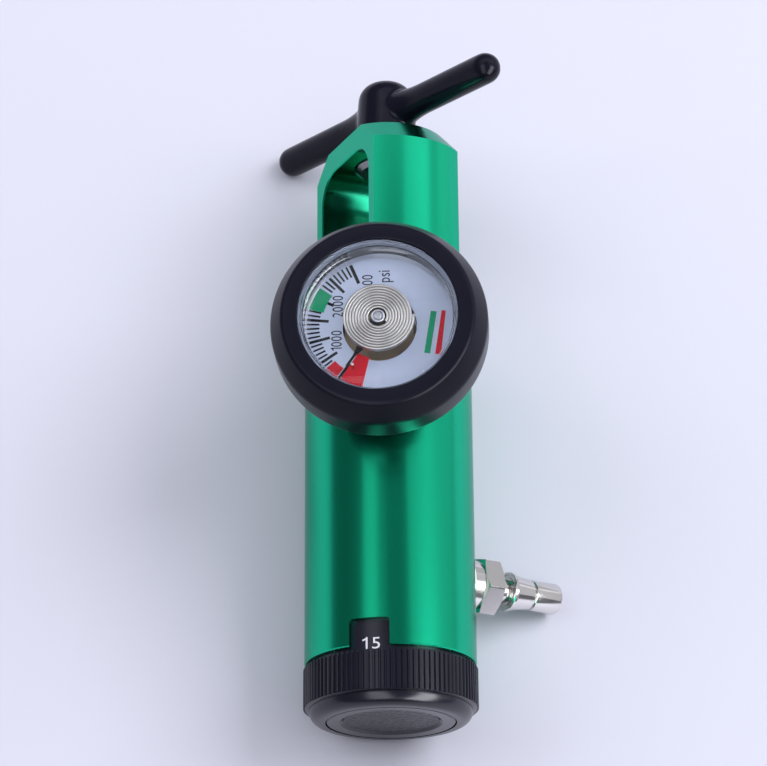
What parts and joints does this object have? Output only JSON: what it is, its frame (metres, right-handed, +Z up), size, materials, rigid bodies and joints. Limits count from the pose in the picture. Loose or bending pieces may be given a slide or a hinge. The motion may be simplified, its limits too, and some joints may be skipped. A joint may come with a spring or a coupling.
{
  "type": "pin-index oxygen regulator",
  "caption": "Pin-index yoke oxygen regulator with a T-handled clamp screw, contents gauge, click-stop flow selector and barbed outlet.",
  "frame": {"origin": "Centre of the underside of the whole regulator's box, as it lies on a table on its back.", "axes": "+Z is up from the table. +Y points along the body, level, from the flow selector to the T-handle. The gauge faces up, leaning a little to -X, and the outlet points to +X and down."},
  "size_m": [0.0712, 0.1554, 0.0667],
  "materials": {
    "anodised_green": "green anodised, satin",
    "brass": "turned",
    "sintered_bronze": "porous",
    "steel": "turned",
    "spring_steel": "drawn wire",
    "chrome": "bright plated",
    "black_plastic": "moulded, semi-matt",
    "black_gloss": "moulded, glossy",
    "black_dip": "dipped vinyl skin",
    "black_rubber": "moulded",
    "seal_rubber": "O-ring",
    "white_nylon": "nylon",
    "dial_white": "printed",
    "pointer_black": "matt",
    "clear": "clear polycarbonate"
  },
  "bodies": {
    "root": {"yoke_body": "anodised_green", "index_pins": "steel", "inlet_nipple": "brass", "inlet_filter": "sintered_bronze", "inlet_washer": "white_nylon", "nozzle": "brass", "main_spring": "spring_steel", "flow_core": "brass", "core_ring_upper": "seal_rubber", "core_ring_lower": "seal_rubber", "port_seal": "white_nylon", "retaining_ring": "spring_steel", "relief_spring": "spring_steel", "relief_plug": "brass", "detent_spring": "spring_steel", "outlet_washer": "white_nylon", "outlet_fitting": "chrome", "gauge_socket": "brass", "gauge_case": "black_plastic", "gauge_dial": "dial_white", "gauge_lens": "clear", "gauge_boot": "black_rubber", "zero_stop": "steel", "bourdon_coil": "steel"},
    "clamp_pad": {"clamp_pad": "steel"},
    "clamp_screw": {"clamp_screw": "steel", "handle_bar": "steel", "handle_coating": "black_dip"},
    "flow_selector": {"spindle": "brass", "spindle_ring": "seal_rubber", "orifice_disc": "steel", "spindle_clip": "spring_steel", "detent_plate": "steel", "dial_collar": "black_plastic", "knob_shell": "black_plastic", "knob_washer": "steel", "knob_screw": "steel", "knob_cap": "black_gloss", "knob_badge": "black_plastic"},
    "piston": {"piston": "brass", "piston_seat": "white_nylon", "piston_ring": "seal_rubber", "stem_ring": "seal_rubber"},
    "detent_ball": {"detent_ball": "steel"},
    "relief_poppet": {"relief_poppet": "brass"},
    "gauge_pointer": {"pointer": "pointer_black", "pointer_shaft": "steel"}
  },
  "joints": [
    {"name": "clamp_travel", "type": "slide", "parent": "root", "child": "clamp_pad", "axis": [0, 0.9968, 0.0804], "range_m": [0, 0.0055]},
    {"name": "clamp_turn", "type": "hinge", "parent": "clamp_pad", "child": "clamp_screw", "pos_m": [-0.00623, 0.06978, 0.03073], "axis": [0, 0.9968, 0.0804], "range_deg": [0, 990]},
    {"name": "flow_select", "type": "hinge", "parent": "root", "child": "flow_selector", "pos_m": [-0.00623, -0.07336, 0.01919], "axis": [0, 0.9968, 0.0804], "range_deg": [-330, 0]},
    {"name": "piston_lift", "type": "slide", "parent": "root", "child": "piston", "axis": [0, 0.9968, 0.0804], "range_m": [0, 0.00045], "stiffness_N_per_m": 20000, "springref_m": -0.006, "deforming": ["main_spring"]},
    {"name": "detent_drop", "type": "slide", "parent": "root", "child": "detent_ball", "axis": [0, -0.9968, -0.0804], "range_m": [0, 0.00042], "deforming": ["detent_spring"]},
    {"name": "relief_lift", "type": "slide", "parent": "root", "child": "relief_poppet", "axis": [0.1804, 0.079, -0.9804], "range_m": [0, 0.001], "stiffness_N_per_m": 2000, "springref_m": -0.001, "deforming": ["relief_spring"]},
    {"name": "gauge_sweep", "type": "hinge", "parent": "root", "child": "gauge_pointer", "pos_m": [-0.01157, 0.00245, 0.05451], "axis": [0.1804, 0.079, -0.9804], "range_deg": [0, 122.7], "stiffness_Nm_per_rad": 0.0005, "deforming": ["bourdon_coil"]}
  ],
  "couplings": [
    {"joint": "clamp_turn", "follows": "clamp_travel", "rad_per_m": 3141.6}
  ]
}
